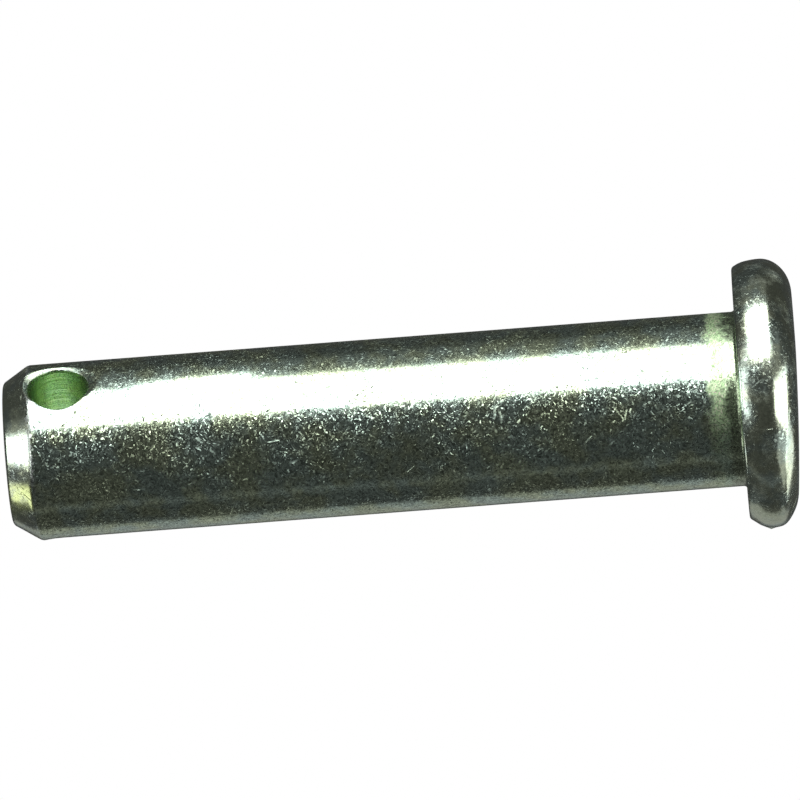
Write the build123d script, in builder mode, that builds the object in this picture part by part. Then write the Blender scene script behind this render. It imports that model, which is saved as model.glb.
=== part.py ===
from build123d import *

import os

# Headed clevis pin, one piece of steel: a cold-formed round head, a plain
# shank, a chamfered point and one cross hole for a cotter pin. Millimetres.
# +Z runs along the shank to its point. The origin is on the axis, where the
# head's bearing face meets it, so the head lies below Z = 0.

# Shank
shank_diameter = 6.3
pin_length = 26.5  # bearing face to the end of the point
neck_fillet = 0.13  # where the shank meets the bearing face

# Head: its side swells from the bearing face to a widest ring, and a long
# rounded edge runs from that ring down to the flat outer face.
head_diameter = 9.7
head_thickness = 2.1
head_swell = 0.18  # how far the widest ring stands out past the bearing face's rim
head_rim_radius = 0.13  # break of the bearing face's rim
head_edge_width = 1.3  # rounded edge, measured across the head
head_edge_height = 1.1  # rounded edge, measured along the pin

# Point
chamfer_length = 0.95  # along the pin
chamfer_depth = 0.6  # across the pin, on one side
chamfer_edge_radius = 0.4
end_corner_radius = 0.2

# Cross hole, through the shank along Y, countersunk at both mouths
hole_diameter = 2.2
hole_end_distance = 2.05  # hole's axis to the end of the point
countersink_width = 0.31  # how far the countersink reaches past the hole's wall
countersink_angle = 90

shank_radius = shank_diameter / 2
head_radius = head_diameter / 2
head_rim = head_radius - head_swell
head_flat = head_radius - head_edge_width
widest_ring_z = head_edge_height - head_thickness
end_radius = shank_radius - chamfer_depth
chamfer_z = pin_length - chamfer_length
hole_radius = hole_diameter / 2
hole_z = pin_length - hole_end_distance

with BuildPart() as headed_pin:
    # Half of the pin's long section, turned about its axis
    with BuildSketch(Plane.XZ):
        with BuildLine():
            outer_face = Line((0, -head_thickness), (head_flat, -head_thickness))
            rounded_edge = EllipticalCenterArc(
                (head_flat, widest_ring_z),
                head_edge_width,
                head_edge_height,
                start_angle=270,
                arc_size=90,
            )
            side = TangentArc(rounded_edge @ 1, (head_rim, 0), tangent=(0, 1))
            bearing_face = Line(side @ 1, (shank_radius, 0))
            shank = Line(bearing_face @ 1, (shank_radius, chamfer_z))
            chamfer_line = Line(shank @ 1, (end_radius, pin_length))
            end_face = Line(chamfer_line @ 1, (0, pin_length))
            Line(end_face @ 1, outer_face @ 0)
        make_face()
    revolve(axis=Axis.Z)

    # Edge breaks, on the rings that the section's corners leave
    rings = headed_pin.edges().filter_by(GeomType.CIRCLE).group_by(Axis.Z)
    end_ring = rings[-1]
    chamfer_ring = rings[-2]
    neck_ring, rim_ring = rings[-3].sort_by(SortBy.RADIUS)
    fillet(neck_ring, radius=neck_fillet)
    fillet(rim_ring, radius=head_rim_radius)
    fillet(chamfer_ring, radius=chamfer_edge_radius)
    fillet(end_ring, radius=end_corner_radius)

    # Cross hole, drilled from both sides to leave a countersink at each mouth
    front_mouth = Plane((0, -shank_radius, hole_z), z_dir=(0, -1, 0))
    back_mouth = Plane((0, shank_radius, hole_z), z_dir=(0, 1, 0))
    with Locations(front_mouth, back_mouth):
        CounterSinkHole(
            radius=hole_radius,
            counter_sink_radius=hole_radius + countersink_width,
            depth=shank_diameter,
            counter_sink_angle=countersink_angle,
        )

headed_pin.part.label = "headed_pin"

os.makedirs("parts", exist_ok=True)
export_step(headed_pin.part, "parts/headed_pin.step")
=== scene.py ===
import math

import bmesh
import bpy
from mathutils import Matrix, Vector, noise


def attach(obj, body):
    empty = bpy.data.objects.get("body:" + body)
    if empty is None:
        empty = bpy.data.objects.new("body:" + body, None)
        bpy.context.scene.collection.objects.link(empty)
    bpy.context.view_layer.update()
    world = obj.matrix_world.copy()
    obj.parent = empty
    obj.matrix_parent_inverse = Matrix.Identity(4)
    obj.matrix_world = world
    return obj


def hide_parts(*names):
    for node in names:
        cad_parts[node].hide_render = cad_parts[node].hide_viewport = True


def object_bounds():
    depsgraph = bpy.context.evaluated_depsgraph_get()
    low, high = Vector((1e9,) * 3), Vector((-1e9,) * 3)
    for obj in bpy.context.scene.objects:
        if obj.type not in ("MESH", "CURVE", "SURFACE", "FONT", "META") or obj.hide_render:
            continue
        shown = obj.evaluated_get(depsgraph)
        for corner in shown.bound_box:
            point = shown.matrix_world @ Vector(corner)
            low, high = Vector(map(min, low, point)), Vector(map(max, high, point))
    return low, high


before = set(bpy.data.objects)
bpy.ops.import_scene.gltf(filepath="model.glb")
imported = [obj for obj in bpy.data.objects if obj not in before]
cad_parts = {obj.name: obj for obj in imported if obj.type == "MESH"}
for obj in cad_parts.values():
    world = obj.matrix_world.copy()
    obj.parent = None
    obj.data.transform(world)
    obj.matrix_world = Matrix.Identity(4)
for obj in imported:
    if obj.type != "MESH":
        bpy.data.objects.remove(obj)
cadBox = [list(corner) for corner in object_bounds()]
mm = 0.001
tableHeight = cadBox[0][2]  # the pin stands on the flat of its head
pinEnd = cadBox[1][2]
print("frame loaded")


# node helpers: an input that is a socket is linked, any other value is set
def addNode(tree, kind, inputs=None, **settings):
    made = tree.nodes.new("ShaderNode" + kind)
    for name, value in settings.items():
        setattr(made, name, value)
    for name, value in (inputs or {}).items():
        if isinstance(value, bpy.types.NodeSocket):
            tree.links.new(value, made.inputs[name])
        else:
            made.inputs[name].default_value = value
    return made


def addMath(tree, operation, *values):
    made = addNode(tree, "Math", dict(enumerate(values)), operation=operation)
    return made.outputs[0]


def addVector(tree, operation, first, second=None, scale=None):
    inputs = {0: first}
    if second is not None:
        inputs[1] = second
    if scale is not None:
        inputs["Scale"] = scale
    made = addNode(tree, "VectorMath", inputs, operation=operation)
    return made.outputs["Value" if operation in ("DOT_PRODUCT", "LENGTH") else "Vector"]


def addRange(tree, value, fromLow, fromHigh, toLow=0.0, toHigh=1.0, smooth=False):
    inputs = {"Value": value, "From Min": fromLow, "From Max": fromHigh, "To Min": toLow, "To Max": toHigh}
    made = addNode(tree, "MapRange", inputs, interpolation_type="SMOOTHSTEP" if smooth else "LINEAR")
    return made.outputs["Result"]


def addNoise(tree, place, scale, detail=2.0, roughness=0.5):
    inputs = {"Vector": place, "Scale": scale, "Detail": detail, "Roughness": roughness}
    return addNode(tree, "TexNoise", inputs).outputs["Fac"]


def addBump(tree, height, depth, normal=None, invert=False):
    inputs = {"Height": height, "Strength": 1.0, "Distance": depth}
    if normal is not None:
        inputs["Normal"] = normal
    return addNode(tree, "Bump", inputs, invert=invert).outputs[0]


def mixColour(tree, share, first, second):
    made = addNode(tree, "Mix", {0: share, 6: first, 7: second}, data_type="RGBA")
    return made.outputs[2]


def newGroup(name, inputs, outputs):
    group = bpy.data.node_groups.new(name, "ShaderNodeTree")
    for title, kind in inputs.items():
        group.interface.new_socket(title, in_out="INPUT", socket_type="NodeSocket" + kind)
    for title, kind in outputs.items():
        group.interface.new_socket(title, in_out="OUTPUT", socket_type="NodeSocket" + kind)
    given = group.nodes.new("NodeGroupInput").outputs
    wanted = group.nodes.new("NodeGroupOutput").inputs
    return group, given, wanted


def useGroup(tree, group, inputs):
    return addNode(tree, "Group", inputs, node_tree=group).outputs


def newMaterial(name):
    material = bpy.data.materials.new(name)
    material.use_nodes = True
    material.node_tree.nodes.clear()
    return material, material.node_tree


def newObject(name, shape, materials):
    mesh = bpy.data.meshes.new(name)
    shape.to_mesh(mesh)
    shape.free()
    for material in materials:
        mesh.materials.append(material)
    made = bpy.data.objects.new(name, mesh)
    bpy.context.scene.collection.objects.link(made)
    return made


# camera: far back, just under the level of the floor, which is clear from below
camera = {
    "azimuth": -48.7,  # degrees round the pin
    "height": -4.7 * mm,
    "aimHeight": 12.26 * mm,
    "aimSide": 0.883 * mm,
    "roll": 4.35,  # degrees that the pin climbs towards its head
    "distance": 560 * mm,
    "widthSeen": 28.845 * mm,
    "sensorWidth": 36,
    "nearest": 10 * mm,  # nothing closer is drawn
}
turnRound = math.radians(camera["azimuth"])
towardHead = Vector((0, 0, -1))
towardCamera = Vector((math.sin(turnRound), -math.cos(turnRound), 0))
acrossPin = towardCamera.cross(towardHead)


def aroundPin(along, across, toward):
    return towardHead * along + acrossPin * across + towardCamera * toward


def placeFacing(item, place, back, right):
    back = back.normalized()
    right = (right - back * right.dot(back)).normalized()
    turn = Matrix((right, back.cross(right), back)).transposed()
    item.matrix_world = Matrix.Translation(place) @ turn.to_4x4()
    bpy.context.scene.collection.objects.link(item)


def addCamera(settings):
    data = bpy.data.cameras.new("camera")
    data.sensor_width = settings["sensorWidth"]
    data.lens = data.sensor_width * settings["distance"] / settings["widthSeen"]
    data.clip_start = settings["nearest"]
    aim = Vector((0, 0, settings["aimHeight"])) + acrossPin * settings["aimSide"]
    rise = settings["height"] - settings["aimHeight"]
    reach = math.sqrt(settings["distance"] ** 2 - rise ** 2)
    back = towardCamera * reach + Vector((0, 0, rise))
    roll = math.radians(settings["roll"])
    holder = bpy.data.objects.new("camera", data)
    placeFacing(holder, aim + back, back, aroundPin(math.cos(roll), -math.sin(roll), 0))
    bpy.context.scene.camera = holder


addCamera(camera)
print("camera placed")


# lamps: soft boxes and cards round the pin, each as a direction along it, across it and toward the camera
lampDistance = 300 * mm
pinMiddle = Vector((0, 0, (tableHeight + pinEnd) / 2))
lamps = {
    "mainSoftbox": {"from": (0.05, 0.824, 0.564), "size": (245 * mm, 283 * mm), "level": 4.0},
    "mainLowCard": {"from": (0.055, 0.616, 0.786), "size": (400 * mm, 75 * mm), "level": 1.3},
    "pointSoftbox": {"from": (-0.92, 0.07, 0.375), "size": (115 * mm, 142 * mm), "level": 3.2},
    "nearPointCard": {"from": (-0.58, 0.035, 0.815), "size": (80 * mm, 225 * mm), "level": 2.1},
    "headSoftbox": {"from": (0.912, -0.101, 0.397), "size": (365 * mm, 160 * mm), "level": 2.6},
    "lowPointCard": {"from": (-0.829, -0.559, -0.029), "size": (100 * mm, 90 * mm), "level": 1.3},
    "lowHeadCard": {"from": (0.845, -0.395, -0.360), "size": (212 * mm, 120 * mm), "level": 1.35},
    "lowHeadFill": {"from": (0.740, -0.656, 0.149), "size": (285 * mm, 160 * mm), "level": 0.42},
    "highPointFill": {"from": (-0.833, 0.438, 0.337), "size": (120 * mm, 60 * mm), "level": 0.13},
    "highHeadFill": {"from": (0.787, 0.454, 0.418), "size": (165 * mm, 90 * mm), "level": 0.17},
    "backCard": {"from": (0.0, -0.609, -0.793), "size": (290 * mm, 190 * mm), "level": 0.28},
    "lowStrip": {"from": (0.0, -0.991, 0.13), "size": (500 * mm, 50 * mm), "level": 0.085},
    "topBackCard": {"from": (0.0, 0.988, -0.156), "size": (200 * mm, 160 * mm), "level": 0.09},
}


def addLamp(name, place, direction, settings, right):
    data = bpy.data.lights.new(name, "AREA")
    data.shape = "RECTANGLE"
    data.size, data.size_y = settings["size"]
    data.energy = settings["level"] * math.pi * data.size * data.size_y
    lamp = bpy.data.objects.new(name, data)
    lamp.visible_camera = False
    placeFacing(lamp, place, direction, right)


for name, settings in lamps.items():
    direction = aroundPin(*settings["from"]).normalized()
    addLamp(name, pinMiddle + direction * lampDistance, direction, settings, acrossPin.cross(direction))
print("lamps placed")


# room: white to the camera, with a dark lining that only the metal sees
room = {
    "liningRadius": 600 * mm,
    "liningGrey": 0.055,
    "floorRadius": 500 * mm,
    "floorColour": (0.8, 0.8, 0.8, 1),
    "floorGlowWithPaintedShadow": (0.72, 1.0),  # painted shadow: dimmer by the pin, full white far from it
    "paintedShadowReach": (20 * mm, 120 * mm),
    "fillLight": 0.4,
    "skyColour": (1, 1, 1, 1),
}


def addStage(name, shape, material):
    piece = newObject(name, shape, [material])
    piece.visible_shadow = False
    return piece


def addLining(settings):
    material, tree = newMaterial("darkLining")
    glow = addNode(tree, "Emission", {"Strength": settings["liningGrey"]})
    addNode(tree, "OutputMaterial", {"Surface": glow.outputs[0]})
    shape = bmesh.new()
    bmesh.ops.create_icosphere(shape, subdivisions=4, radius=settings["liningRadius"])
    lining = addStage("lining", shape, material)
    lining.visible_camera = False
    lining.visible_diffuse = False


def addFloor(settings):
    material, tree = newMaterial("paleFloor")
    place = addNode(tree, "TexCoord").outputs["Object"]
    reach = addVector(tree, "LENGTH", place)
    # painted shadow: the floor's glow to the camera is dimmer near the pin
    glow = addRange(tree, reach, *settings["paintedShadowReach"], *settings["floorGlowWithPaintedShadow"])
    seen = addNode(tree, "LightPath").outputs["Is Camera Ray"]
    light = addNode(tree, "Emission", {"Strength": addMath(tree, "MULTIPLY", glow, seen)})
    matte = addNode(tree, "BsdfDiffuse", {"Color": settings["floorColour"]})
    both = addNode(tree, "AddShader", {0: light.outputs[0], 1: matte.outputs[0]})
    below = addNode(tree, "NewGeometry").outputs["Backfacing"]
    clear = addNode(tree, "BsdfTransparent")
    oneSided = addNode(tree, "MixShader", {0: below, 1: both.outputs[0], 2: clear.outputs[0]})
    addNode(tree, "OutputMaterial", {"Surface": oneSided.outputs[0]})
    shape = bmesh.new()
    bmesh.ops.create_circle(shape, cap_ends=True, segments=96, radius=settings["floorRadius"])
    bmesh.ops.translate(shape, verts=shape.verts, vec=(0, 0, tableHeight))
    floor = addStage("floor", shape, material)
    floor.visible_glossy = False


def addWorld(settings):
    world = bpy.data.worlds.new("whiteRoom")
    world.use_nodes = True
    tree = world.node_tree
    tree.nodes.clear()
    path = addNode(tree, "LightPath").outputs
    seen = addMath(tree, "MAXIMUM", path["Is Camera Ray"], path["Is Glossy Ray"])
    seen = addMath(tree, "MAXIMUM", seen, path["Is Transmission Ray"])
    level = addRange(tree, seen, 0.0, 1.0, settings["fillLight"], 1.0)
    sky = addNode(tree, "Background", {"Color": settings["skyColour"], "Strength": level})
    addNode(tree, "OutputWorld", {"Surface": sky.outputs[0]})
    bpy.context.scene.world = world


addLining(room)
addFloor(room)
addWorld(room)
print("room made")


# patterns that every finish uses with its own values
patterns = {
    "grainWarp": {"scale": 0.8, "reach": 1.4},  # how the patches of grain bend, in patches
    "grainJump": 40.0,  # keeps the strokes of two patches apart
    "grainStretch": 0.65,
    "wearSpan": (0.35, 0.6),
    "scratches": {"Scale": 1400.0, "Width": 0.03, "Length": 0.4},  # cells per metre, then shares of a cell
    "scratchCore": 0.4,  # share of the half width that is cut to full depth
    "scratchEnds": 2.0,
    "grooveDepth": 0.008 * mm,
    "nickCore": 0.3,
    "filmSpan": (0.38, 0.62),
}


def randomWay(tree, colour):
    return addVector(tree, "NORMALIZE", addVector(tree, "SUBTRACT", colour, (0.5, 0.5, 0.5)))


def makeGrain(settings):
    # short strokes from the tumbling barrel, each little patch rubbed its own way
    group, given, wanted = newGroup(
        "tumbledGrain",
        {"Place": "Vector", "Scale": "Float", "Finer": "Float", "Stretch": "Float", "Rarity": "Float"},
        {"Lean": "Vector", "Depth": "Float", "Shade": "Float"},
    )
    warp = settings["grainWarp"]
    scaled = addVector(group, "SCALE", given["Place"], scale=given["Scale"])
    clouds = addNode(group, "TexNoise", {"Vector": scaled, "Scale": warp["scale"], "Detail": 1.0})
    bend = addVector(group, "SUBTRACT", clouds.outputs["Color"], (0.5, 0.5, 0.5))
    warped = addVector(group, "ADD", scaled, addVector(group, "SCALE", bend, scale=warp["reach"]))
    patch = addNode(group, "TexVoronoi", {"Vector": warped, "Scale": 1.0}).outputs
    rubbed = randomWay(group, patch["Color"])
    local = addVector(group, "SUBTRACT", warped, patch["Position"])
    alongRub = addMath(group, "MULTIPLY", addVector(group, "DOT_PRODUCT", local, rubbed), given["Stretch"])
    pulled = addVector(group, "SUBTRACT", local, addVector(group, "SCALE", rubbed, scale=alongRub))
    jump = addVector(group, "SCALE", patch["Color"], scale=settings["grainJump"])
    jumped = addVector(group, "ADD", pulled, jump)
    strokes = addNode(group, "TexVoronoi", {"Vector": jumped, "Scale": given["Finer"]}).outputs["Color"]
    chance = addNode(group, "TexWhiteNoise", {"Vector": strokes}).outputs["Value"]
    depth = addMath(group, "POWER", chance, given["Rarity"])
    lean = addVector(group, "SCALE", randomWay(group, strokes), scale=depth)
    group.links.new(lean, wanted["Lean"])
    group.links.new(depth, wanted["Depth"])
    group.links.new(addNode(group, "SeparateXYZ", {0: strokes}).outputs["X"], wanted["Shade"])
    return group


def makeScratches(settings):
    # at most one short groove in each large cell, cut along a random plane
    group, given, wanted = newGroup(
        "shortScratches",
        {"Place": "Vector", "Scale": "Float", "Width": "Float", "Length": "Float", "Share": "Float"},
        {"Groove": "Float"},
    )
    scaled = addVector(group, "SCALE", given["Place"], scale=given["Scale"])
    cells = addNode(group, "TexVoronoi", {"Vector": scaled, "Scale": 1.0}).outputs
    local = addVector(group, "SUBTRACT", scaled, cells["Position"])
    side = randomWay(group, cells["Color"])
    offset = addMath(group, "DIVIDE", addVector(group, "DOT_PRODUCT", local, side), given["Width"])
    inWidth = addRange(group, addMath(group, "ABSOLUTE", offset), 1.0, settings["scratchCore"])
    reach = addVector(group, "LENGTH", local)
    inLength = addRange(group, reach, given["Length"], 0.0, 0.0, settings["scratchEnds"])
    chance = addNode(group, "TexWhiteNoise", {"Vector": cells["Color"]}).outputs["Value"]
    present = addMath(group, "LESS_THAN", chance, given["Share"])
    groove = addMath(group, "MULTIPLY", inWidth, addMath(group, "MULTIPLY", inLength, present))
    group.links.new(addMath(group, "MINIMUM", groove, 1.0), wanted["Groove"])
    return group


def makeNick(settings):
    # one nick at a known place: a short line with soft ends
    group, given, wanted = newGroup(
        "singleNick",
        {"Place": "Vector", "Centre": "Vector", "Along": "Vector", "Length": "Float", "Width": "Float"},
        {"Groove": "Float"},
    )
    local = addVector(group, "SUBTRACT", given["Place"], given["Centre"])
    reach = addVector(group, "DOT_PRODUCT", local, given["Along"])
    half = addMath(group, "MULTIPLY", given["Length"], 0.5)
    kept = addMath(group, "MAXIMUM", reach, addMath(group, "MULTIPLY", half, -1.0))
    kept = addMath(group, "MINIMUM", kept, half)
    away = addVector(group, "SUBTRACT", local, addVector(group, "SCALE", given["Along"], scale=kept))
    off = addMath(group, "DIVIDE", addVector(group, "LENGTH", away), given["Width"])
    group.links.new(addRange(group, off, 1.0, settings["nickCore"], smooth=True), wanted["Groove"])
    return group


def makeFilm(settings):
    # thin yellow-green film over the zinc, whose colour wanders with its thickness
    group, given, wanted = newGroup(
        "chromateFilm",
        {"Place": "Vector", "Warm": "Color", "Cool": "Color", "Patch": "Float"},
        {"Color": "Color"},
    )
    clouds = addNoise(group, given["Place"], given["Patch"], detail=3.0, roughness=0.6)
    share = addRange(group, clouds, *settings["filmSpan"], smooth=True)
    group.links.new(mixColour(group, share, given["Warm"], given["Cool"]), wanted["Color"])
    return group


grain = makeGrain(patterns)
scratches = makeScratches(patterns)
singleNick = makeNick(patterns)
film = makeFilm(patterns)
print("patterns made")


# each mark has its height on the pin, its place across it, and its turn from the pin's length in degrees
def addNicks(tree, place, nicks):
    grooves = None
    for nick in nicks["marks"]:
        turn = math.radians(nick["turn"])
        toward = math.sqrt(nicks["radius"] ** 2 - nick["across"] ** 2)
        single = useGroup(tree, singleNick, {
            "Place": place,
            "Centre": Vector((0, 0, nick["height"])) + aroundPin(0, nick["across"], toward),
            "Along": aroundPin(math.cos(turn), math.sin(turn), 0),
            "Length": nick["length"],
            "Width": nick["width"],
        })
        groove = addMath(tree, "MULTIPLY", single["Groove"], nick["depth"])
        grooves = groove if grooves is None else addMath(tree, "MAXIMUM", grooves, groove)
    return grooves


def axisOf(tree, skin, axis):
    return addNode(tree, "SeparateXYZ", {0: skin["place"]}).outputs[axis]


def sideRange(tree, skin, span, low=0.0, smooth=True):
    side = addVector(tree, "DOT_PRODUCT", skin["place"], acrossPin)
    return addRange(tree, side, *span, low, 1.0, smooth=smooth)


# each effect changes the skin, a dictionary of the sockets and values that the metal is made from
def addRipple(tree, skin, ripple):
    waves = addNoise(tree, skin["place"], ripple["scale"])
    skin["normal"] = addBump(tree, waves, ripple["depth"], skin["normal"])


def addRings(tree, skin, rings):
    wander = addNoise(tree, skin["place"], rings["bendScale"], detail=1.0)
    bend = addMath(tree, "MULTIPLY", wander, rings["bend"])
    run = addMath(tree, "ADD", axisOf(tree, skin, rings["axis"]), bend)
    inputs = {"W": run, "Scale": rings["scale"], "Detail": 2.0}
    ridges = addNode(tree, "TexNoise", inputs, noise_dimensions="1D").outputs["Fac"]
    skin["normal"] = addBump(tree, ridges, rings["depth"], skin["normal"])


# painted sheen: a yellow tint on the chamfer's low side, where a lamp's reflection falls
def addPaintedSheenTint(tree, skin, tint):
    started = sideRange(tree, skin, tint["starts"])
    ended = sideRange(tree, skin, tint["ends"])
    tinted = addMath(tree, "SUBTRACT", started, ended)
    skin["colour"] = mixColour(tree, tinted, skin["colour"], tint["colour"])


def addNeckBand(tree, skin, neck):
    place = skin["place"]
    bottom = neck["bottom"]
    top = neck["top"]
    fade = neck["fade"]
    clouds = addNoise(tree, place, neck["ragScale"], detail=4.0, roughness=0.7)
    ragged = addRange(tree, clouds, *neck["ragSpan"], -neck["rag"], neck["rag"])
    height = addMath(tree, "ADD", axisOf(tree, skin, "Z"), ragged)
    band = addRange(tree, height, top, top - fade, smooth=True)
    # painted shade: the band fades on the low side, away from the main soft box
    band = addMath(tree, "MULTIPLY", band, sideRange(tree, skin, neck["lowSide"], neck["lowShare"]))
    # painted shade: by the head the green fades and a darker strip is laid in, standing for the shade of
    # the head
    atHead = addRange(tree, height, bottom, bottom + fade, neck["atHead"], 1.0, smooth=True)
    green = addMath(tree, "MULTIPLY", band, atHead)
    root = addRange(tree, height, bottom, bottom + fade, 1.0, 0.0, smooth=True)
    headShadedColour = mixColour(tree, root, skin["colour"], neck["paintedShadeColour"])
    skin["colour"] = mixColour(tree, green, headShadedColour, neck["colour"])
    skin["roughness"] = addRange(tree, green, 0.0, 1.0, skin["roughness"], neck["roughness"])
    grainLeft = addRange(tree, band, 0.0, 1.0, 1.0, neck["grain"])
    skin["tilt"] = addMath(tree, "MULTIPLY", skin["tilt"], grainLeft)
    bumps = addMath(tree, "MULTIPLY", addNoise(tree, place, neck["bumpScale"]), green)
    skin["normal"] = addBump(tree, bumps, neck["bumpDepth"], skin["normal"])


def addScuff(tree, skin, scuff):
    width = scuff["width"]
    clouds = addNoise(tree, skin["place"], scuff["scale"], detail=3.0, roughness=0.7)
    ragged = addRange(tree, clouds, *scuff["span"], -width, width)
    off = addMath(tree, "ABSOLUTE", addMath(tree, "SUBTRACT", axisOf(tree, skin, "Z"), scuff["height"]))
    worn = addRange(tree, addMath(tree, "ADD", off, ragged), width, 0.0, smooth=True)
    lowSide = sideRange(tree, skin, scuff["lowSide"], scuff["lowShare"], smooth=False)
    worn = addMath(tree, "MULTIPLY", worn, lowSide)
    rougher = addRange(tree, worn, 0.0, 1.0, 0.0, scuff["roughness"])
    skin["roughness"] = addMath(tree, "MAXIMUM", skin["roughness"], rougher)
    skin["colour"] = mixColour(tree, worn, skin["colour"], scuff["colour"])


def addBlotches(tree, skin, blotches):
    place = skin["place"]
    clouds = addNoise(tree, place, blotches["scale"], detail=4.0, roughness=0.65)
    dull = addRange(tree, clouds, *blotches["span"], 0.0, blotches["share"], smooth=True)
    if "scabs" in blotches:
        dull = addMath(tree, "MAXIMUM", dull, addNicks(tree, place, blotches["scabs"]))
    specks = addNoise(tree, place, blotches["fineScale"], detail=3.0, roughness=0.7)
    fine = addRange(tree, specks, *blotches["fineSpan"], blotches["least"], 1.0)
    dull = addMath(tree, "MULTIPLY", dull, fine)
    rougher = addRange(tree, dull, 0.0, 1.0, 0.0, blotches["roughness"])
    skin["roughness"] = addMath(tree, "MAXIMUM", skin["roughness"], rougher)
    skin["colour"] = mixColour(tree, dull, skin["colour"], blotches["colour"])
    skin["metallic"] = addRange(tree, dull, 0.0, 1.0, 1.0, blotches["metallic"])


effects = {
    "ripple": addRipple,
    "rings": addRings,
    "paintedSheenTint": addPaintedSheenTint,
    "neckBand": addNeckBand,
    "scuff": addScuff,
    "blotches": addBlotches,
}


def makeZinc(name, settings):
    material, tree = newMaterial(name)
    place = addNode(tree, "TexCoord").outputs["Object"]
    tints = {"Warm": settings["warm"], "Cool": settings["cool"], "Patch": settings["filmPatch"]}
    stretch = patterns["grainStretch"]
    strokes = useGroup(tree, grain, {"Place": place, "Stretch": stretch, **settings["grain"]})
    share = settings["scratchShare"]
    grooves = useGroup(tree, scratches, {"Place": place, "Share": share, **patterns["scratches"]})["Groove"]
    if "nicks" in settings:
        grooves = addMath(tree, "MAXIMUM", grooves, addNicks(tree, place, settings["nicks"]))
    slow = addNoise(tree, place, settings["wearScale"])
    worn = addRange(tree, slow, *patterns["wearSpan"], settings["leastWear"], 1.0)
    marked = addMath(tree, "MAXIMUM", addMath(tree, "MULTIPLY", strokes["Depth"], worn), grooves)
    skin = {
        "place": place,
        "colour": useGroup(tree, film, {"Place": place, **tints})["Color"],
        "metallic": 1.0,
        "roughness": addRange(tree, marked, 0.0, 1.0, settings["roughness"], settings["markRoughness"]),
        "tilt": addMath(tree, "MULTIPLY", worn, settings["grainTilt"]),
        "normal": addBump(tree, grooves, patterns["grooveDepth"], invert=True),
    }
    for title, addEffect in effects.items():
        if title in settings:
            addEffect(tree, skin, settings[title])
    shade = addRange(tree, strokes["Shade"], 0.0, 1.0, *settings["shade"])
    lean = addVector(tree, "SCALE", strokes["Lean"], scale=skin["tilt"])
    metal = addNode(tree, "BsdfPrincipled", {
        "Base Color": addVector(tree, "SCALE", skin["colour"], scale=shade),
        "Metallic": skin["metallic"],
        "Roughness": skin["roughness"],
        "Normal": addVector(tree, "NORMALIZE", addVector(tree, "ADD", skin["normal"], lean)),
    })
    addNode(tree, "OutputMaterial", {"Surface": metal.outputs[0]})
    return material


# finishes: one bright zinc plating, worn in its own way on each part of the pin, with painted shade at the
# neck and a painted sheen on the chamfer
shankRadius = 3.15 * mm
pointStart = pinEnd - 0.95 * mm
edgeScuff = {
    "height": pointStart, "width": 0.11 * mm, "scale": 5000.0, "span": (0.3, 0.7),
    "lowSide": (-1.6 * mm, -0.8 * mm), "lowShare": 0.2,
    "roughness": 0.38, "colour": (0.60, 0.66, 0.62, 1),
}
# neck band: greener, rougher film round the neck, with painted shade on its low side and a painted shade
# strip by the head
neckBand = {
    "top": 1.25 * mm, "bottom": 0.3 * mm, "fade": 0.35 * mm,
    "rag": 0.3 * mm, "ragScale": 2200.0, "ragSpan": (0.25, 0.75),
    "atHead": 0.25, "lowSide": (-2.2 * mm, -0.2 * mm), "lowShare": 0.2,
    "colour": (0.72, 1.0, 0.58, 1), "paintedShadeColour": (0.40, 0.47, 0.34, 1),
    "roughness": 0.50, "grain": 0.3, "bumpScale": 3500.0, "bumpDepth": 0.004 * mm,
}
shankNicks = {"radius": shankRadius, "marks": [
    {"height": 8.82 * mm, "across": 0.18 * mm, "turn": 80,
     "length": 0.4 * mm, "width": 0.06 * mm, "depth": 0.9},
    {"height": 8.62 * mm, "across": 0.05 * mm, "turn": 100,
     "length": 0.3 * mm, "width": 0.05 * mm, "depth": 0.7},
    {"height": 5.50 * mm, "across": 1.07 * mm, "turn": 85,
     "length": 0.3 * mm, "width": 0.035 * mm, "depth": 1.0},
    {"height": 5.38 * mm, "across": 1.05 * mm, "turn": 92,
     "length": 0.32 * mm, "width": 0.035 * mm, "depth": 0.9},
    {"height": 4.42 * mm, "across": -0.12 * mm, "turn": -52,
     "length": 0.42 * mm, "width": 0.035 * mm, "depth": 1.0},
]}
shankZinc = makeZinc("shankZinc", {
    "warm": (0.64, 0.75, 0.52, 1), "cool": (0.56, 0.71, 0.61, 1), "filmPatch": 700.0,
    "roughness": 0.18, "markRoughness": 0.48, "shade": (0.35, 1.4),
    "grain": {"Scale": 5000.0, "Finer": 4.8, "Rarity": 4.5}, "grainTilt": 0.42,
    "wearScale": 400.0, "leastWear": 0.5, "scratchShare": 0.12, "nicks": shankNicks,
    "neckBand": neckBand, "scuff": edgeScuff,
})

headNick = {"radius": 4.82 * mm, "marks": [
    {"height": -1.0 * mm, "across": -1.15 * mm, "turn": 5,
     "length": 0.2 * mm, "width": 0.028 * mm, "depth": 1.0},
]}
headScab = {"radius": 4.72 * mm, "marks": [
    {"height": -1.5 * mm, "across": 4.25 * mm, "turn": 70,
     "length": 0.3 * mm, "width": 0.45 * mm, "depth": 1.0},
]}
headZinc = makeZinc("headZinc", {
    "warm": (0.66, 0.74, 0.55, 1), "cool": (0.58, 0.71, 0.62, 1), "filmPatch": 900.0,
    "roughness": 0.17, "markRoughness": 0.42, "shade": (0.75, 1.15),
    "grain": {"Scale": 4500.0, "Finer": 4.5, "Rarity": 5.0}, "grainTilt": 0.26,
    "wearScale": 900.0, "leastWear": 0.2, "scratchShare": 0.08, "nicks": headNick,
    "ripple": {"scale": 2500.0, "depth": 0.004 * mm},
    "blotches": {"scale": 1300.0, "span": (0.48, 0.66), "share": 0.5, "scabs": headScab,
                 "fineScale": 5000.0, "fineSpan": (0.35, 0.6), "least": 0.1,
                 "colour": (0.60, 0.68, 0.56, 1), "roughness": 0.40, "metallic": 0.80},
})

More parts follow.
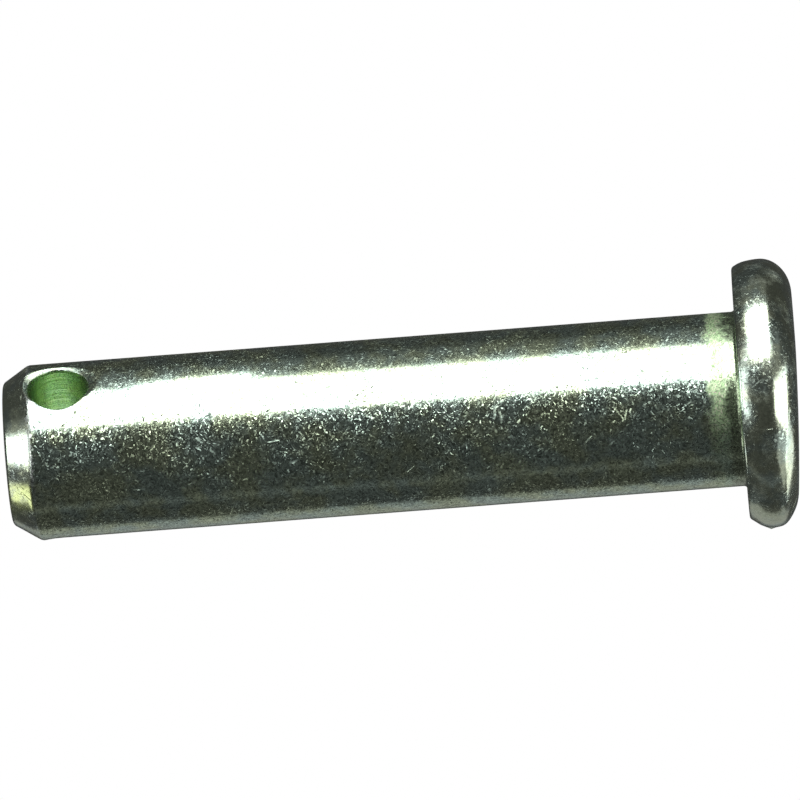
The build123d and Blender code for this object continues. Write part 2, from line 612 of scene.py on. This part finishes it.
pointZinc = makeZinc("pointZinc", {
    "warm": (0.66, 0.75, 0.58, 1), "cool": (0.60, 0.72, 0.64, 1), "filmPatch": 1200.0,
    "roughness": 0.19, "markRoughness": 0.42, "shade": (0.8, 1.15),
    "grain": {"Scale": 5000.0, "Finer": 4.5, "Rarity": 6.0}, "grainTilt": 0.16,
    "wearScale": 900.0, "leastWear": 0.2, "scratchShare": 0.1, "scuff": edgeScuff,
    "ripple": {"scale": 2500.0, "depth": 0.005 * mm},
    # painted sheen: yellow tint where a lamp's reflection falls on the chamfer
    "paintedSheenTint": {"starts": (-0.85 * mm, -1.25 * mm), "ends": (-1.9 * mm, -2.3 * mm),
                "colour": (0.76, 0.86, 0.40, 1)},
    "blotches": {"scale": 1500.0, "span": (0.45, 0.65), "share": 1.0,
                 "fineScale": 5000.0, "fineSpan": (0.35, 0.6), "least": 0.3,
                 "colour": (0.62, 0.70, 0.50, 1), "roughness": 0.32, "metallic": 0.93},
})

holeZinc = makeZinc("holeZinc", {
    "warm": (0.66, 0.80, 0.49, 1), "cool": (0.58, 0.78, 0.56, 1), "filmPatch": 1500.0,
    "roughness": 0.24, "markRoughness": 0.45, "shade": (1.0, 1.0),
    "grain": {"Scale": 5000.0, "Finer": 4.5, "Rarity": 8.0}, "grainTilt": 0.1,
    "wearScale": 900.0, "leastWear": 0.1, "scratchShare": 0.05,
    "rings": {"axis": "Y", "scale": 6500.0, "depth": 0.015 * mm, "bend": 0.15 * mm, "bendScale": 900.0},
})

flareZinc = makeZinc("flareZinc", {
    "warm": (0.64, 0.74, 0.55, 1), "cool": (0.58, 0.74, 0.62, 1), "filmPatch": 2500.0,
    "roughness": 0.27, "markRoughness": 0.5, "shade": (0.5, 1.3),
    "grain": {"Scale": 5000.0, "Finer": 3.0, "Rarity": 4.0}, "grainTilt": 0.5,
    "wearScale": 1500.0, "leastWear": 0.3, "scratchShare": 0.1,
})

zincs = {"shank": shankZinc, "head": headZinc, "point": pointZinc, "hole": holeZinc, "flare": flareZinc}
zincIndex = {part: index for index, part in enumerate(zincs)}
print("finishes made")


# pin: turned from its long section, then drilled through and countersunk at both mouths
# its seat, which is the head's bearing face, lies at height 0
pinShape = {
    "neckFillet": 0.13 * mm,
    "headRadius": 4.85 * mm,
    "headSwell": 0.18 * mm,  # how far the widest ring stands past the seat's rim
    "headRimRound": 0.092 * mm,
    "headEdge": (1.3 * mm, 1.1 * mm),  # rounded edge across and along the pin
    "pointDepth": 0.6 * mm,
    "pointEdgeRound": 0.085 * mm,
    "endCornerRound": 0.113 * mm,
    "turns": 256,
    "rows": {"outerFace": 10, "headEdge": 18, "headSide": 8, "seat": 10, "shank": 100,
             "point": 5, "end": 8},
    "roundRows": {"neck": 5, "rim": 4, "shoulder": 4, "endCorner": 5},
}
sameSpot = 0.0001 * mm


def straight(first, last, steps):
    return [first.lerp(last, step / steps) for step in range(steps)]


def arc(centre, across, along, fromAngle, toAngle, steps):
    angles = [math.radians(fromAngle + (toAngle - fromAngle) * step / steps) for step in range(steps)]
    return [centre + Vector((across * math.cos(angle), along * math.sin(angle))) for angle in angles]


def spinSection(section, axis, centre, turns):
    shape = bmesh.new()
    points = [shape.verts.new(centre + place) for place in section]
    lines = [shape.edges.new(pair) for pair in zip(points, points[1:])]
    bmesh.ops.spin(shape, geom=points + lines, axis=axis, cent=centre, angle=math.tau, steps=turns,
                   use_merge=True)
    bmesh.ops.remove_doubles(shape, verts=shape.verts, dist=sameSpot)
    return shape


def roundEdges(shape, edges, width, segments, clamp=True):
    bmesh.ops.bevel(shape, geom=edges, offset=width, offset_type="OFFSET", segments=segments, profile=0.5,
                    affect="EDGES", clamp_overlap=clamp, material=-1)


def ringEdges(shape, corner):
    def onRing(vert):
        return math.hypot(vert.co.xy.length - corner.x, vert.co.z - corner.y) < sameSpot
    return [edge for edge in shape.edges if all(onRing(vert) for vert in edge.verts)]


def turnPin(settings):
    head = settings["headRadius"]
    swell = settings["headSwell"]
    edgeWide, edgeHigh = settings["headEdge"]
    widest = tableHeight + edgeHigh
    sideRadius = (widest ** 2 + swell ** 2) / (2 * swell)
    sideTurn = math.degrees(math.asin(-widest / sideRadius))
    flatCentre = Vector((0, tableHeight))
    flatEdge = Vector((head - edgeWide, tableHeight))
    rim = Vector((head - swell, 0))
    neck = Vector((shankRadius, 0))
    shoulder = Vector((shankRadius, pointStart))
    endCorner = Vector((shankRadius - settings["pointDepth"], pinEnd))
    endCentre = Vector((0, pinEnd))
    rows = settings["rows"]
    edgeCentre = Vector((flatEdge.x, widest))
    sideCentre = Vector((head - sideRadius, widest))
    outline = straight(flatCentre, flatEdge, rows["outerFace"])
    outline += arc(edgeCentre, edgeWide, edgeHigh, -90, 0, rows["headEdge"])
    outline += arc(sideCentre, sideRadius, sideRadius, 0, sideTurn, rows["headSide"])
    outline += straight(rim, neck, rows["seat"])
    outline += straight(neck, shoulder, rows["shank"])
    outline += straight(shoulder, endCorner, rows["point"])
    outline += straight(endCorner, endCentre, rows["end"]) + [endCentre]
    section = [Vector((place.x, 0, place.y)) for place in outline]
    shape = spinSection(section, (0, 0, 1), Vector(), settings["turns"])
    rounds = settings["roundRows"]
    roundEdges(shape, ringEdges(shape, neck), settings["neckFillet"], rounds["neck"])
    roundEdges(shape, ringEdges(shape, rim), settings["headRimRound"], rounds["rim"])
    roundEdges(shape, ringEdges(shape, shoulder), settings["pointEdgeRound"], rounds["shoulder"])
    roundEdges(shape, ringEdges(shape, endCorner), settings["endCornerRound"], rounds["endCorner"])
    bmesh.ops.recalc_face_normals(shape, faces=shape.faces)
    return shape


crossHole = {
    "radius": 1.1 * mm,
    "height": pinEnd - 2.05 * mm,
    "flareWidth": 0.33 * mm,  # countersink at the pin's crown
    "flareAngle": 124,  # degrees
    "flareShift": 0.23 * mm,  # it was cut a little off the hole's middle
    "edgeRound": 0.04 * mm,
    "edgeRows": 2,
    "reach": 3.6 * mm,
    "turns": 144,
    "rows": 40,
}


def holeShape(settings):
    reach = settings["reach"]
    bottom = Vector((settings["radius"], -reach))
    top = Vector((settings["radius"], reach))
    outline = [Vector((0, -reach))] + straight(bottom, top, settings["rows"]) + [top, Vector((0, reach))]
    section = [Vector((place.x, place.y, 0)) for place in outline]
    shape = spinSection(section, (0, 1, 0), Vector((0, 0, settings["height"])), settings["turns"])
    bmesh.ops.recalc_face_normals(shape, faces=shape.faces)
    return shape


def flareShape(settings, side):
    crown = settings["radius"] + settings["flareWidth"]
    reach = settings["reach"]
    spread = math.tan(math.radians(settings["flareAngle"] / 2))
    tip = shankRadius - crown / spread
    outline = [Vector((0, tip)), Vector(((reach - tip) * spread, reach)), Vector((0, reach))]
    section = [Vector((place.x, place.y * side, 0)) for place in outline]
    centre = Vector((settings["flareShift"], 0, settings["height"]))
    shape = spinSection(section, (0, 1, 0), centre, settings["turns"])
    bmesh.ops.recalc_face_normals(shape, faces=shape.faces)
    return shape


def newPart(name, shape, finish):
    for face in shape.faces:
        face.material_index = zincIndex[finish]
    return newObject(name, shape, zincs.values())


def drillPin():
    body = newPart("body", turnPin(pinShape), "shank")
    cutters = [
        newPart("holeCutter", holeShape(crossHole), "hole"),
        newPart("frontFlare", flareShape(crossHole, -1), "flare"),
        newPart("backFlare", flareShape(crossHole, 1), "flare"),
    ]
    for cutter in cutters:
        cut = body.modifiers.new(cutter.name, "BOOLEAN")
        cut.object = cutter
        cut.operation = "DIFFERENCE"
        cut.solver = "EXACT"
        cut.material_mode = "TRANSFER"
    drilled = bpy.data.meshes.new_from_object(body.evaluated_get(bpy.context.evaluated_depsgraph_get()))
    for piece in [body] + cutters:
        bpy.data.objects.remove(piece)
    return drilled


pinMesh = drillPin()
print("hole cut")


# wear: what the press and use did to this one pin, mostly on its low side, away from the main soft box
wear = {
    "shankWaves": (0.0025 * mm, 700.0),  # depth, and waves per metre
    "headWaves": (0.003 * mm, 1500.0),
    "edgeWaves": (0.018 * mm, 900.0),  # these lie along the edge between shank and chamfer
    "edgeReach": 0.25 * mm,
    "edgeSkew": (-0.05 * mm, 0.35 * mm),  # how far that edge creeps on the low side, and over what reach
    "edgeBow": 0.08 * mm,
    "edgeLip": 0.04 * mm,
    "headTop": 0.01 * mm,  # what lies lower moves with the head
    "headShift": 0.13 * mm,  # the head sits a little to one side
    "shiftFrom": (0.2 * mm, 1.0 * mm),  # the seat follows from this far outside the shank, in this width
    "rimFrom": (4.0 * mm, 0.6 * mm),  # the seat's rim is worn from this radius, in this width
    "seatPull": (0.2 * mm, 0.33 * mm),  # how far its low side is worn back, and over what height
    "topPull": (0.06 * mm, 0.22 * mm),  # the same on the high side
    "outerFrom": (0.6 * mm, 1.4 * mm),  # the outer face bends from this far below the seat, in this height
    "outerRise": 6.2,  # per metre, times the square of the way to the low side
    "outerTilt": {"slope": 0.0375, "start": 1.5 * mm, "softness": 0.5 * mm},
    "spread": 0.12 * mm,  # how far the outer edge is pushed out on the low side
    "spreadFrom": (1.1 * mm, 0.7 * mm),  # from this far below the seat, in this height
    "spreadOut": (2.8 * mm, 1.2 * mm),  # and from this radius, in this width
    "burr": {"height": -0.75 * mm, "size": 0.07 * mm, "around": 0.16 * mm, "along": 0.13 * mm,
             "beyond": 4.0 * mm},
}


def fadeIn(value, start, width):
    share = min(max((value - start) / width, 0.0), 1.0)
    return share * share * (3 - 2 * share)


def bell(offset, reach):
    return math.exp(-(offset / reach) ** 2)


def shankMove(place, outward, settings):
    depth, waves = settings["shankWaves"]
    edgeDepth, edgeWaves = settings["edgeWaves"]
    skew, skewReach = settings["edgeSkew"]
    fromEdge = place.z - pointStart
    skewed = bell(fromEdge, skewReach)
    low = min(max(0.0, -place.dot(acrossPin) / shankRadius), 1.0)
    move = outward * noise.noise(place * waves) * depth
    move.z += (skew * low ** 3 + settings["edgeBow"] * 4 * low * (1 - low)) * skewed
    move += outward * settings["edgeLip"] * low ** 2 * skewed
    move += outward * noise.noise(place * edgeWaves) * edgeDepth * bell(fromEdge, settings["edgeReach"])
    return move


def headMove(place, outward, settings):
    depth, waves = settings["headWaves"]
    across = place.dot(acrossPin)
    radius = place.xy.length
    below = -place.z
    low = max(0.0, -across / pinShape["headRadius"])
    high = max(0.0, across / pinShape["headRadius"])
    move = outward * noise.noise(place * waves) * depth
    clear, shiftWidth = settings["shiftFrom"]
    share = 1.0 if below > clear else fadeIn(radius, shankRadius + clear, shiftWidth)
    move += acrossPin * settings["headShift"] * share
    rim = fadeIn(radius, *settings["rimFrom"])
    seatPull, seatReach = settings["seatPull"]
    topPull, topReach = settings["topPull"]
    move -= outward * seatPull * rim * low ** 2 * bell(place.z, seatReach)
    move -= outward * topPull * rim * high ** 2 * bell(place.z, topReach)
    tilt = settings["outerTilt"]
    past = tilt["start"] - across
    tilted = tilt["slope"] * (past + math.hypot(past, tilt["softness"])) / 2
    bent = settings["outerRise"] * min(across, 0.0) ** 2
    move.z += (bent + tilted) * fadeIn(below, *settings["outerFrom"])
    pushed = fadeIn(below, *settings["spreadFrom"]) * fadeIn(radius, *settings["spreadOut"])
    move += outward * settings["spread"] * low * pushed
    burr = settings["burr"]
    if across < -burr["beyond"]:
        around = bell(place.dot(towardCamera), burr["around"])
        move += outward * burr["size"] * around * bell(place.z - burr["height"], burr["along"])
    return move


def wearPin(shape, settings):
    for vert in shape.verts:
        place = vert.co
        outward = Vector((place.x, place.y, 0)) / max(place.xy.length, sameSpot)
        findMove = headMove if place.z < settings["headTop"] else shankMove
        vert.co += findMove(place, outward, settings)


finishing = {
    "weld": 0.002 * mm,
    "sharpFrom": 32,  # degrees
}


def placeNumber(place):
    return place.x + math.e * place.y + math.pi * place.z  # one number that tells the points apart


def sortParts(shape):
    # the cut leaves its points in no fixed order, and welding and bevelling follow that order
    shape.verts.sort(key=lambda vert: placeNumber(vert.co))
    shape.edges.sort(key=lambda edge: sum(placeNumber(vert.co) for vert in edge.verts))
    shape.faces.sort(key=lambda face: placeNumber(face.calc_center_median()))


def finishPin(mesh, settings):
    shape = bmesh.new()
    shape.from_mesh(mesh)
    sortParts(shape)
    bmesh.ops.remove_doubles(shape, verts=shape.verts, dist=settings["weld"])
    rim = [edge for edge in shape.edges if len({face.material_index for face in edge.link_faces}) == 2]
    roundEdges(shape, rim, crossHole["edgeRound"], crossHole["edgeRows"], clamp=False)
    for face in shape.faces:
        face.smooth = True
        if face.material_index == zincIndex["shank"]:
            height = face.calc_center_median().z
            part = "head" if height < 0 else "point" if height > pointStart else "shank"
            face.material_index = zincIndex[part]
    wearPin(shape, wear)
    sharp = math.radians(settings["sharpFrom"])
    for edge in shape.edges:
        edge.smooth = len(edge.link_faces) == 2 and edge.calc_face_angle(0) < sharp
    loose = [edge for edge in shape.edges if len(edge.link_faces) != 2]
    volume = shape.calc_volume() / mm ** 3
    print("open or crowded edges:", len(loose), "volume:", round(volume, 2), "cubic mm")
    shape.to_mesh(mesh)
    shape.free()


finishPin(pinMesh, finishing)
pinMesh.name = "pin"
pin = bpy.data.objects.new("pin", pinMesh)
bpy.context.scene.collection.objects.link(pin)
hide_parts("headed_pin")
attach(pin, "root")
print("pin made:", len(pinMesh.polygons), "faces", [material.name for material in pinMesh.materials])


# light that comes through the hole from behind, and two small cards that fill its countersink
holeLamp = {"behind": 2.9 * mm, "size": (1.2 * mm, 1.2 * mm), "level": 1.65}
flareDistance = 8 * mm
flareCards = {
    "flareCard": {"from": (0.58, 0.79, 0.18), "size": (5 * mm, 3 * mm), "level": 3.8},
    "secondFlareCard": {"from": (-0.45, 0.70, 0.55), "size": (3 * mm, 3 * mm), "level": 3.0},
}
holeBack = Vector((0, holeLamp["behind"], crossHole["height"]))
holeMouth = Vector((0, -shankRadius, crossHole["height"]))
addLamp("holeLamp", holeBack, Vector((0, 1, 0)), holeLamp, towardHead)
for name, settings in flareCards.items():
    direction = aroundPin(*settings["from"]).normalized()
    addLamp(name, holeMouth + direction * flareDistance, direction, settings, towardHead)
print("hole lit")

bpy.context.scene.view_settings.view_transform = "Standard"
